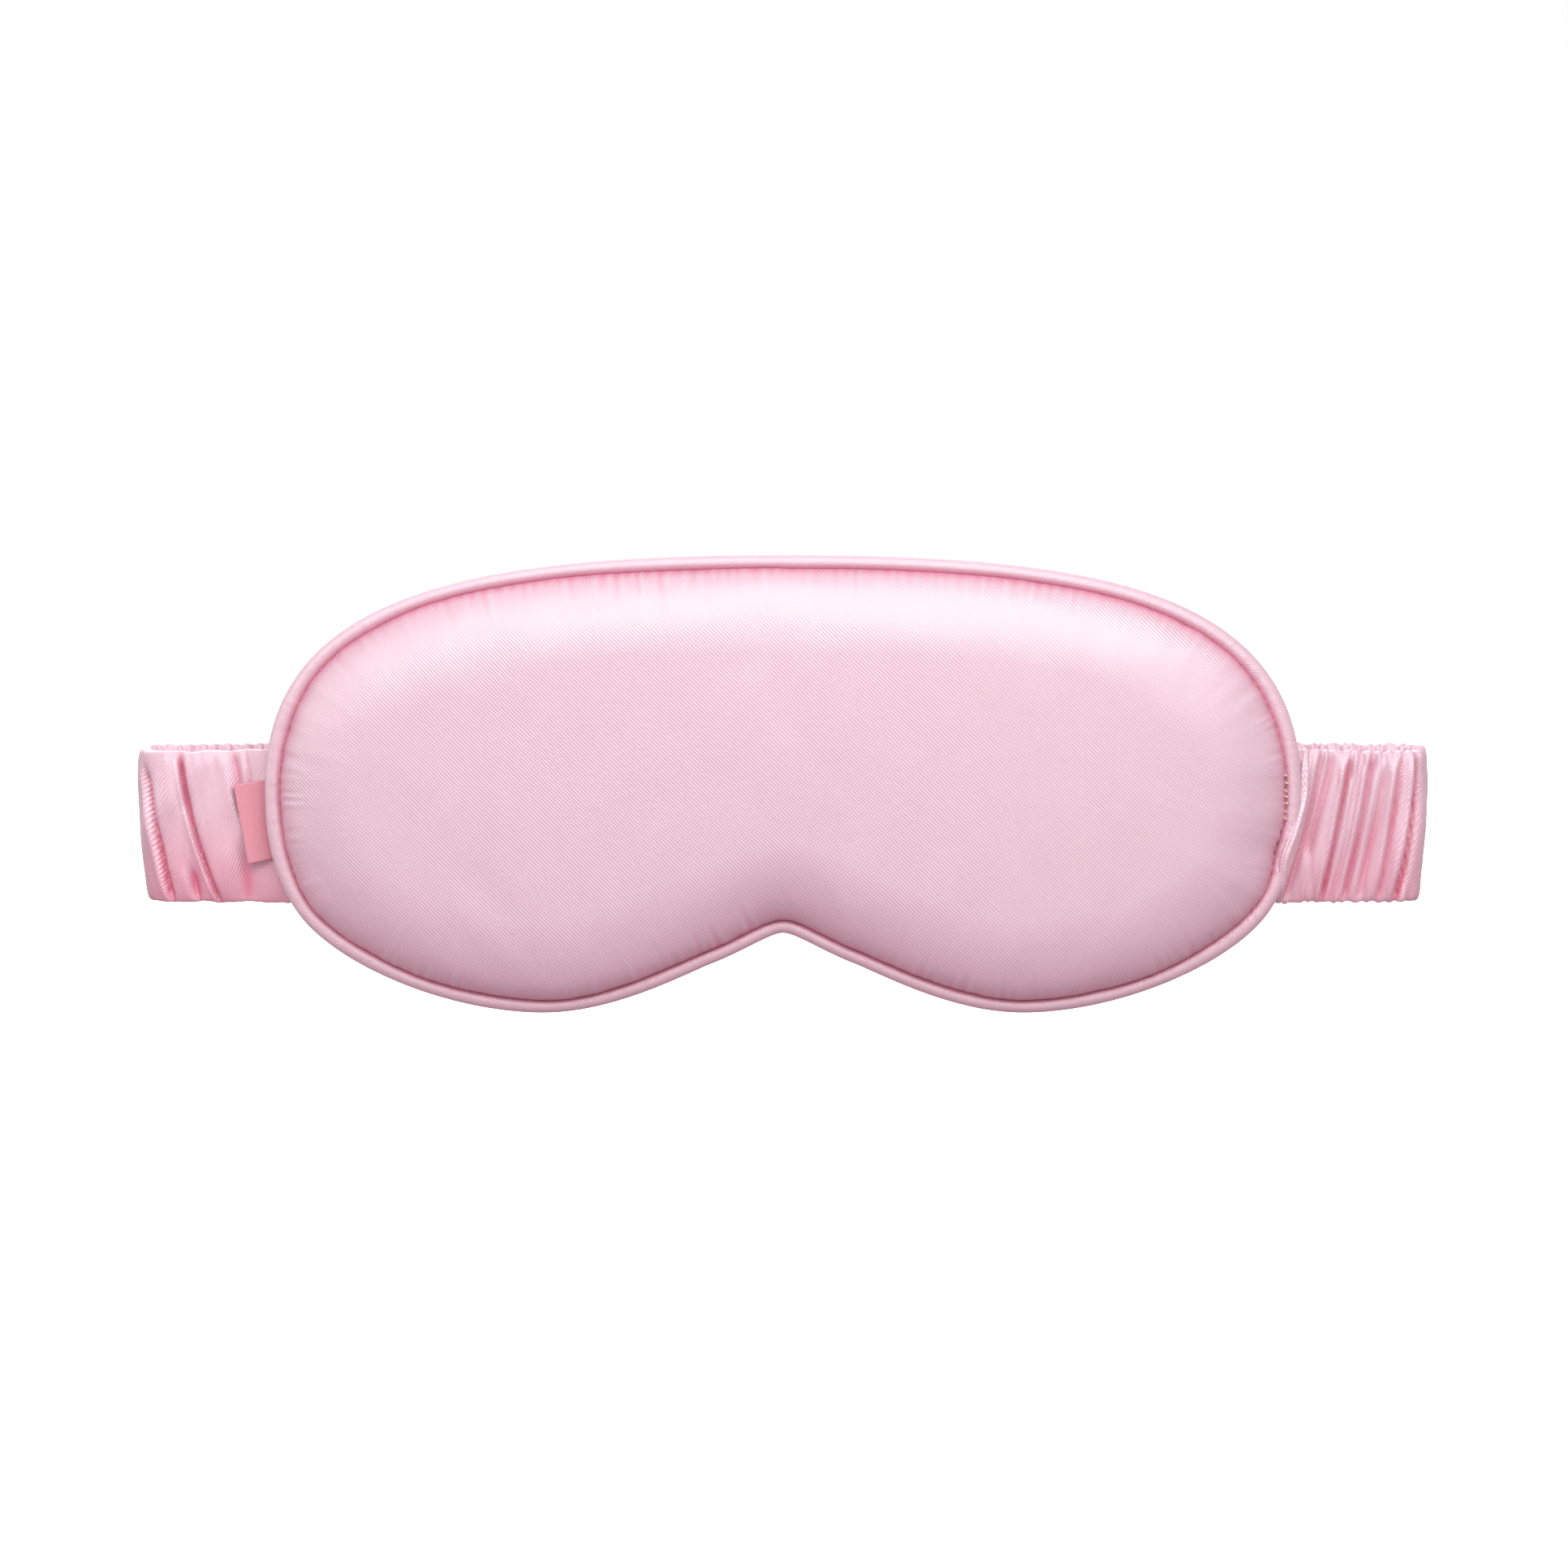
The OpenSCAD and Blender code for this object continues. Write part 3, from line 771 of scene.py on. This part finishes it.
def strap_path():
    """Centreline in plan of the right half, from inside the seam to the middle of the back run."""
    centre = np.array([FOLD_X - FOLD_R, FOLD_Y])
    lead = np.array([[98.5, 3.8], [101.0, 4.3], [103.2, 5.2], [105.3, 7.0], [108.5, 8.4], [113, 8.9],
                     [119, 9.1], [centre[0], centre[1] - FOLD_R]])
    turn = np.radians(np.linspace(-78, 78, 9))
    arc = centre + FOLD_R * np.stack([np.cos(turn), np.sin(turn)], 1)
    last = arc[-1]
    x = np.linspace(last[0] - 1.5, 0, 40)
    run = np.stack([x, RUN_DEEP - (RUN_DEEP - centre[1] - FOLD_R) * (x / centre[0]) ** 2], 1)
    return catmull(np.vstack([lead, arc, run]), 12)


def catmull(points, steps):
    """A smooth curve through points."""
    ends = np.vstack([2 * points[0] - points[1], points, 2 * points[-1] - points[-2]])
    t = np.linspace(0, 1, steps, endpoint=False)[:, None]
    made = []
    for k in range(1, len(ends) - 2):
        a, b, c, d = ends[k - 1:k + 3]
        made.append(0.5 * (2 * b + (c - a) * t + (2 * a - 5 * b + 4 * c - d) * t ** 2
                           + (3 * b - a - 3 * c + d) * t ** 3))
    return np.vstack(made + [points[-1:]])


def even_path(points, spacing):
    """Points at even distances along a path, and the distance to each."""
    walked = np.concatenate([[0], np.cumsum(np.linalg.norm(np.diff(points, axis=0), axis=1))])
    at = np.linspace(0, walked[-1], int(walked[-1] / spacing) + 1)
    return np.stack([np.interp(at, walked, points[:, i]) for i in (0, 1)], 1), at


HALF_PATH = strap_path()
WHOLE_PATH = np.vstack([HALF_PATH * [-1, 1], HALF_PATH[::-1][1:]])  # from the left to the right seam
PATH, WALKED = even_path(WHOLE_PATH, PATH_STEP)
LENGTH = WALKED[-1]
MIDDLE = LENGTH / 2
ON_RIGHT = WALKED > MIDDLE
FROM_SEAM = np.minimum(WALKED, LENGTH - WALKED)
FRONT_RUN = (PATH[:, 1] < FOLD_Y)
SEAM_LEAN, FOLD_LEAN = 0.14, 0.045  # sideways lean of the strap for each millimetre of height


def at_x(x):
    """How far along the strap the front run is at x."""
    pick = FRONT_RUN & (ON_RIGHT if x > 0 else ~ON_RIGHT)
    order = np.argsort(PATH[pick, 0])
    return np.interp(x, PATH[pick, 0][order], WALKED[pick][order])


# Pleats of the front run: x at the top, middle and bottom of the strap, depth, width, first and last height.
RIGHT_PLEATS = [
    (110.0, 108.4, 105.4, 1.5, 0.7, -16, 16),
    (112.6, 110.3, 106.9, 1.0, 1.0, -6, 16),
    (116.5, 115.2, 113.4, 2.2, 0.55, -16, 14),
    (118.8, 117.6, 115.4, 0.8, 0.7, -16, 15),
    (121.2, 119.9, 117.7, 1.7, 0.6, -16, 15),
    (124.6, 122.8, 120.4, 1.1, 0.9, -16, 12),
    (127.6, 126.4, 124.6, 1.6, 0.55, -16, 15),
    (130.3, 129.8, 127.6, 2.5, 0.6, -16, 14),
]
LEFT_PLEATS = [
    (-131.7, -129.6, -127.3, 2.3, 0.5, -16, 12),
    (-124.2, -122.4, -118.2, 2.0, 0.45, -16, 14),
    (-124.0, -123.7, -123.4, 0.9, 1.2, 3, 16),
    (-125.4, -124.2, -122.4, 1.7, 0.9, -16, -9),
    (-112.4, -111.4, -111.0, 1.2, 1.1, 2, 16),
    (-113.4, -112.8, -112.6, 0.8, 1.6, -16, -4),
    (-109.6, -108.8, -108.4, 0.7, 0.5, 6, 16),
]


def valley(at, z, pleat):
    """How far one pleat moves the cloth: in along its line, and out a little on the lip beside it.

    at is the distance along the strap and z the height.
    """
    top, middle, bottom, depth, width, low, high = pleat
    t = z / STRAP_HALF
    bend = (top + bottom) / 2 - middle
    centre = middle + (top - bottom) / 2 * t + bend * t * t
    offset = at - at_x(middle) + centre - middle
    fade = smooth(z, low - 2.5, low + 2.5) * (1 - smooth(z, high - 3, high + 2))
    sharp = np.exp(-np.abs(offset / width) ** 1.3)
    lip = 0.34 * bump(offset, 2.2 * width, 1.2 * width)
    return depth * fade * (lip - sharp)


def gathers(at, z, seed, pitch, depth):
    """Ruching of a free run: sharp valleys between soft ridges that wander and die out."""
    drift = 1.0 * waves(at + 0.35 * z, 26, seed) + 0.8 * waves(z - 0.15 * at, 24, seed + 1)
    phase = np.pi * (at + drift) / pitch
    ridge = 1 - np.exp(-(np.abs(np.sin(phase)) / 0.34) ** 1.3)
    strength = 0.62 + 0.38 * waves(at + 0.25 * z, 12, seed + 2)
    return depth * strength * (ridge - 0.45)


RIPPLE_PITCH = 2.3
RIPPLE_SEED = 91


def ripples(at):
    return np.sin(2 * np.pi * at / RIPPLE_PITCH + 1.3 * waves(at, 6, RIPPLE_SEED))


def edge_ripples(at, z):
    """Tight little gathers where the sleeve is drawn up along its top and bottom edges."""
    return 0.3 * bump(STRAP_HALF - np.abs(z), 0, 3.4) * ripples(at)


def strap_section(count=88):
    """Height and side, from -1 to 1, of points round the tube: up the outer face, down the inner."""
    turn = np.linspace(0, 2 * np.pi, count, endpoint=False)
    z = -np.cos(turn)
    height = np.sign(z) * (1 - (1 - np.abs(z)) ** 1.25)
    face = np.sign(np.sin(turn)) * np.abs(np.sin(turn)) ** 0.62
    return height, face


def path_frame():
    """Outward direction in plan and sideways lean at every point of the path."""
    along = np.gradient(PATH, axis=0)
    along /= np.linalg.norm(along, axis=1)[:, None]
    lean = np.interp(FROM_SEAM, [0, 6, 34, 48, 52], [SEAM_LEAN, SEAM_LEAN, FOLD_LEAN, FOLD_LEAN, 0])
    return np.stack([-along[:, 1], along[:, 0]], 1), lean * np.where(ON_RIGHT, 1, -1)


OUTWARD, LEAN = path_frame()


def round_path(thick, z):
    """Points at distance thick outside the path's centre and height z, each row leaning as the strap does."""
    return np.stack([PATH[:, :1] + OUTWARD[:, :1] * thick + LEAN[:, None] * z,
                     PATH[:, 1:] + OUTWARD[:, 1:] * thick, STRAP_Z + z], -1)


ELASTIC_IN = 0.85 * smooth(FROM_SEAM, 7, 20)  # how far the elastic lies inside the path's centre
ELASTIC_HALF = 0.3 * np.where(FROM_SEAM < 5, 0.5, 1)
COVERED = 0.2  # the least cloth over the elastic
LOW_STRAP_SHADE = 0.24 + 0.18 * (1 - smooth(WALKED, 34, 80))  # painted shade: deeper pink low on the strap, most at the left


def strap_points(half_height, half_thick):
    """Rows along the path by points round the section, and painted shade: how deep in a fold each point is,
    plus a darker lower half.
    """
    height, face = strap_section()
    z = height[None, :] * half_height[:, None]
    at = WALKED[:, None] + 0 * z
    thick = half_thick[:, None] * face[None, :]
    drop, shrink = sleeve_relief(at, z, face)
    inside = np.where(face[None, :] > 0, -ELASTIC_IN[:, None], ELASTIC_IN[:, None])
    drop = np.maximum(drop, inside + ELASTIC_HALF[:, None] + COVERED - half_thick[:, None])
    thick = thick + drop * np.sign(face)[None, :] * np.minimum(1, np.abs(face))[None, :] ** 0.5
    # Painted shade: darker down in the folds of the sleeve and on its lower half.
    depth = np.clip((-drop - 0.3) / 1.3, 0, 1) + LOW_STRAP_SHADE[:, None] * smooth(-z, -6, 14)
    return round_path(thick, z * (1 + shrink)), depth


def sleeve_relief(at, z, face):
    """How far the cloth stands out from the plain tube, and by how much its height changes."""
    outer = face[None, :] > 0
    flat_end = smooth(FROM_SEAM, 3, 7)[:, None]
    smooth_front = (1 - smooth(PATH[:, 1], FOLD_Y - 3, FOLD_Y + 3)) * ~ON_RIGHT
    calm = 1 - 0.75 * smooth_front[:, None]  # the left front run has few small gathers
    free = gathers(at, z, 61, 4.4, 1.25)
    inner = gathers(at, z, 71, 4.9, 1.0)
    own = np.zeros_like(z)
    for rows, pleats in ((ON_RIGHT, RIGHT_PLEATS), (~ON_RIGHT, LEFT_PLEATS)):
        for pleat in pleats:
            own = own + np.where(rows[:, None], valley(at, z, pleat), 0)
    own = own + 0.35 * calm * gathers(at, z, 82, 2.6, 1.0) + 0.16 * waves(at + 0.8 * z, 11, 83)
    share = smooth(PATH[:, 1], FOLD_Y - 4, FOLD_Y + 3)[:, None]
    drop = np.where(outer, own * (1 - share) + free * share, inner)
    drop = (drop + calm * edge_ripples(at, z)) * flat_end
    shrink = flat_end * (0.011 * calm * ripples(at) + 0.008 * waves(at, 6, 93))
    # The front runs' top edge dips a little, so that the back run's shows over it.
    dip = 0.036 * (1 - smooth(PATH[:, 1], FOLD_Y - 3, FOLD_Y + 3)) * smooth(FROM_SEAM, 6, 24)
    return drop, shrink - dip[:, None] * (z > 0) * smooth(z, 0, 10)


CUT = 16.5  # distance from the seam end at which the sleeve changes from one blend to the next


def keep_normals(pieces, points, cuts):
    """Gives each length of the sleeve the normals of the whole sleeve, so that no joint shows."""
    whole = grid_object("whole", points, around=True)
    normals = np.empty(len(whole.data.vertices) * 3)
    whole.data.vertices.foreach_get("normal", normals)
    normals = normals.reshape(points.shape)
    bpy.data.objects.remove(whole)
    for piece, (first, last) in zip(pieces, cuts):
        piece.data.normals_split_custom_set_from_vertices(normals[first:last + 1].reshape(-1, 3))


def blend_strap(left, loop, right):
    """Bakes the placement of the three lengths into their meshes."""
    for piece, side in ((left, -MM), (right, MM)):
        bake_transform(piece)
    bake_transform(loop)


GATHER = 1.25  # flat length of the sleeve for each millimetre of its path
TUBE_ROUND = 68.0  # distance round the gathered tube, for the weave


def make_strap():
    half_height = np.interp(FROM_SEAM, [0, 4, 7], [0.86, 0.96, 1.0]) * STRAP_HALF
    half_thick = np.interp(FROM_SEAM, [0, 5, 8, 14, 22], [0.35, 0.45, 1.2, 1.85, 2.0])
    points, depth = strap_points(half_height, half_thick)
    round_by = np.linspace(0, TUBE_ROUND, points.shape[1] + 1)
    uv = np.stack(np.broadcast_arrays(WALKED[:, None] * GATHER, round_by[None, :]), -1)
    first = int(np.searchsorted(WALKED, CUT))
    last = len(WALKED) - 1 - first
    cuts = [(0, first), (first, last), (last, len(WALKED) - 1)]
    names = ["left_sleeve_end", "sleeve_loop", "right_sleeve_end"]
    pieces = [grid_object(n, points[a:b + 1], uv=uv[a:b + 1], around=True, depth=depth[a:b + 1])
              for n, (a, b) in zip(names, cuts)]
    keep_normals(pieces, points, cuts)
    left, loop, right = (dress(p, SATIN_STRAP) for p in pieces)
    blend_strap(left, loop, right)
    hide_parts("back_sleeve", "left_side_sleeve", "right_side_sleeve")
    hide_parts("left_strap_tail")
    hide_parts("right_strap_tail")
    return first, last


def make_double_pleat():
    """Two narrow folds of the right sleeve that ride over the piping on their way down."""
    line = np.array([[108.3, 6.8, 14.4], [108.1, 5.6, 11.5], [107.8, 4.3, 6.0], [106.9, 3.0, 2.4],
                     [105.8, 2.2, -1.3], [104.7, 1.7, -4.2], [103.8, 1.5, -6.8], [103.3, 1.9, -10.0],
                     [103.1, 2.8, -13.1], [102.9, 5.2, -16.4]])
    centre = catmull(line, 9)
    along = np.gradient(centre, axis=0)
    along /= np.linalg.norm(along, axis=1)[:, None]
    across = np.cross(along, [0, 1, 0])
    across /= np.linalg.norm(across, axis=1)[:, None]
    front = np.cross(across, along)
    front *= -np.sign(front[:, 1])[:, None]
    turn = np.linspace(0, 2 * np.pi, 28, endpoint=False)
    size = 0.8 * np.interp(np.linspace(0, 1, len(centre)), [0, 0.12, 0.85, 1], [0.5, 1, 1, 0.5])
    groove = 1 - 0.42 * np.exp(-((turn - np.pi / 2) / 0.34) ** 2)
    points = (centre[:, None] + across[:, None] * (size[:, None] * np.cos(turn) * groove)[..., None] * 1.15
              + front[:, None] * (size[:, None] * np.sin(turn) * groove)[..., None] * 0.8)
    uv = np.stack(np.broadcast_arrays(np.arange(len(centre))[:, None] * 0.4, turn[None, :] * 0.8), -1)
    uv = np.concatenate([uv, uv[:, -1:] + [0, 0.2]], 1)
    pleat = grid_object("double_pleat", points, uv=uv, around=True)
    dress(pleat, SATIN_STRAP, "mask")


def make_elastic(first, last):
    """The rubber band inside the sleeve, in the same three lengths."""
    low, high = box_mm("back_elastic")
    half = (high[2] - low[2]) / 2
    height, face = strap_section(40)
    thick = ELASTIC_HALF[:, None] * face[None, :] - ELASTIC_IN[:, None]
    z = half * (height[None, :] * np.interp(FROM_SEAM, [0, 9], [0.86, 1])[:, None])
    points = round_path(thick, z)[::3]
    cuts = [(0, first // 3), (first // 3, last // 3), (last // 3, len(points) - 1)]
    names = ["left_elastic_end", "elastic_loop", "right_elastic_end"]
    left, loop, right = (dress(grid_object(n, points[a:b + 1], around=True), ELASTIC)
                         for n, (a, b) in zip(names, cuts))
    blend_strap(left, loop, right)
    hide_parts("back_elastic", "left_side_elastic", "right_side_elastic")


# ---------------------------------------------------------------- label
LABEL_SHOWN, LABEL_ROOT = 4.4, 4.4  # lengths of the folded ribbon that show and that are in the seam
LABEL_HEIGHT = 16.5  # the ribbon's width
LABEL_Z = 0.6  # height of its middle
LABEL_LEAN = math.radians(10.3)
LABEL_GAP = 0.22  # half the distance between the two layers' middles
RIBBON_THICK = 0.22


def make_label():
    """A ribbon folded in two: both ends are in the seam and the fold is the free end."""
    low, high = box_mm("side_label")
    hinge = np.array([-edge_x(LABEL_Z) - 1.0, (low[1] + high[1]) / 2, LABEL_Z])
    fold_x = -LABEL_SHOWN + LABEL_GAP
    out = np.linspace(LABEL_ROOT, fold_x, 26)
    turn = np.linspace(np.pi / 2, 3 * np.pi / 2, 9)[1:-1]
    cap = np.stack([fold_x + LABEL_GAP * np.cos(turn), LABEL_GAP * np.sin(turn)], 1)
    upper = np.stack([out, np.full_like(out, LABEL_GAP)], 1)
    lower = upper[::-1] * [1, -1]
    line = np.vstack([upper, cap, lower])
    line[:, 1] += -0.5 * smooth(-line[:, 0], 0, LABEL_SHOWN) ** 2 + 0.075 * np.sin(line[:, 0] * 0.9)
    across = np.linspace(-LABEL_HEIGHT / 2, LABEL_HEIGHT / 2, 60)
    x = np.broadcast_to(line[:, 0][:, None], (len(line), len(across)))
    curl = 0.22 * np.sin(across / LABEL_HEIGHT * 3.1)
    y = line[:, 1][:, None] + curl[None, :] * smooth(-line[:, 0], 0, 4)[:, None]
    z = np.broadcast_to(across[None, :], x.shape) * (1 + 0.012 * smooth(-x, 0, 5))
    local = np.stack([x, y, z], -1)
    cos, sin = math.cos(LABEL_LEAN), math.sin(LABEL_LEAN)
    turned = local @ np.array([[cos, 0, sin], [0, 1, 0], [-sin, 0, cos]])
    uv = np.stack(np.broadcast_arrays(across[None, :], np.arange(len(line))[:, None] * 0.36), -1)
    ribbon = grid_object("side_ribbon", turned + hinge, uv=uv)
    thick = ribbon.modifiers.new("thick", "SOLIDIFY")
    thick.thickness = RIBBON_THICK * MM
    thick.offset = 0
    bpy.context.view_layer.objects.active = ribbon
    bpy.ops.object.modifier_apply(modifier="thick")
    dress(ribbon, RIBBON)
    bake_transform(ribbon)
    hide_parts("side_label", "label_root")


def finish_cad_nodes():
    """The bartacks are the only CAD nodes that stay shown: they keep their shape and get thread."""
    for name in ("left_bartack", "right_bartack"):
        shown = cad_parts[name]
        shown.data.materials.clear()
        shown.data.materials.append(THREAD_WHITE)


# ---------------------------------------------------------------- studio
def make_world():
    world = bpy.data.worlds.new("studio")
    scene.world = world
    world.use_nodes = True
    tree = world.node_tree
    tree.nodes.clear()
    where = node(tree, "TexCoord")
    split = node(tree, "SeparateXYZ")
    tree.links.new(where.outputs["Generated"], split.inputs[0])
    height = node(tree, "MapRange")
    height.inputs["From Min"].default_value = -0.8
    height.inputs["From Max"].default_value = 1.0
    tree.links.new(split.outputs["Z"], height.inputs["Value"])
    sky = ramp(tree, height.outputs["Result"],
               [(0.0, (0.68, 0.46, 0.54)), (1.0, (0.70, 0.70, 0.70)), (0.2, (0.40, 0.27, 0.32)),
                (0.44, (0.58, 0.575, 0.58))])
    soft = node(tree, "Background")
    tree.links.new(sky, soft.inputs["Color"])
    soft.inputs["Strength"].default_value = 1.0
    plain = node(tree, "Background")
    plain.inputs["Color"].default_value = (1, 1, 1, 1)
    path = node(tree, "LightPath")
    mix = node(tree, "MixShader")
    tree.links.new(path.outputs["Is Camera Ray"], mix.inputs["Fac"])
    tree.links.new(soft.outputs[0], mix.inputs[1])
    tree.links.new(plain.outputs[0], mix.inputs[2])
    out = node(tree, "OutputWorld")
    tree.links.new(mix.outputs[0], out.inputs["Surface"])


FLOOR_Z = -0.12  # metres


def make_floor():
    bpy.ops.mesh.primitive_plane_add(size=12, location=(0, 0, FLOOR_Z))
    floor = bpy.context.object
    floor.name = "floor"
    material, _, shader = start_material("pale_floor")
    shader.inputs["Base Color"].default_value = (0.95, 0.95, 0.95, 1)
    shader.inputs["Roughness"].default_value = 0.9
    shader.inputs["Emission Color"].default_value = (1, 1, 1, 1)
    shader.inputs["Emission Strength"].default_value = 0.6
    floor.data.materials.append(material)
    floor.visible_diffuse = False
    floor.visible_glossy = False


def area_light(name, place, target, size, power):
    """Places in metres, power in watts."""
    data = bpy.data.lights.new(name, "AREA")
    data.shape = "RECTANGLE"
    data.size, data.size_y = size
    data.energy = power
    light = bpy.data.objects.new(name, data)
    light.location = place
    light.rotation_euler = (Vector(target) - Vector(place)).to_track_quat("-Z", "Y").to_euler()
    scene.collection.objects.link(light)


def make_camera():
    """The photograph looks straight at the front, from a little above."""
    elevation, distance, seen_width = math.radians(5.5), 1.6, 0.3235
    target = Vector((0.0002, -0.002, 0.009))
    data = bpy.data.cameras.new("camera")
    data.sensor_width = 36
    data.lens = data.sensor_width * distance / seen_width
    camera = bpy.data.objects.new("camera", data)
    camera.location = target + distance * Vector((0, -math.cos(elevation), math.sin(elevation)))
    camera.rotation_euler = (target - camera.location).to_track_quat("-Z", "Y").to_euler()
    scene.collection.objects.link(camera)
    scene.camera = camera


scene.view_settings.view_transform = "Standard"
make_camera()
make_world()
make_floor()
area_light("top_softbox", (0.10, -0.70, 0.63), (0, 0, 0.02), (1.6, 0.44), 12.0)
area_light("left_softbox", (-1.0, -0.28, 0.3), (-0.06, 0, 0.01), (0.5, 0.6), 2.2)
area_light("front_fill", (0.25, -1.2, 0.1), (0, 0, 0), (0.8, 0.8), 2.0)
area_light("back_fill", (-0.3, 1.2, 0.6), (0, 0, 0), (1.0, 0.8), 14.0)

make_panels()
make_filling()
make_piping()
make_cord()
make_stitches()
sleeve_cuts = make_strap()
make_double_pleat()
make_elastic(*sleeve_cuts)
make_label()
finish_cad_nodes()

bpy.context.view_layer.update()
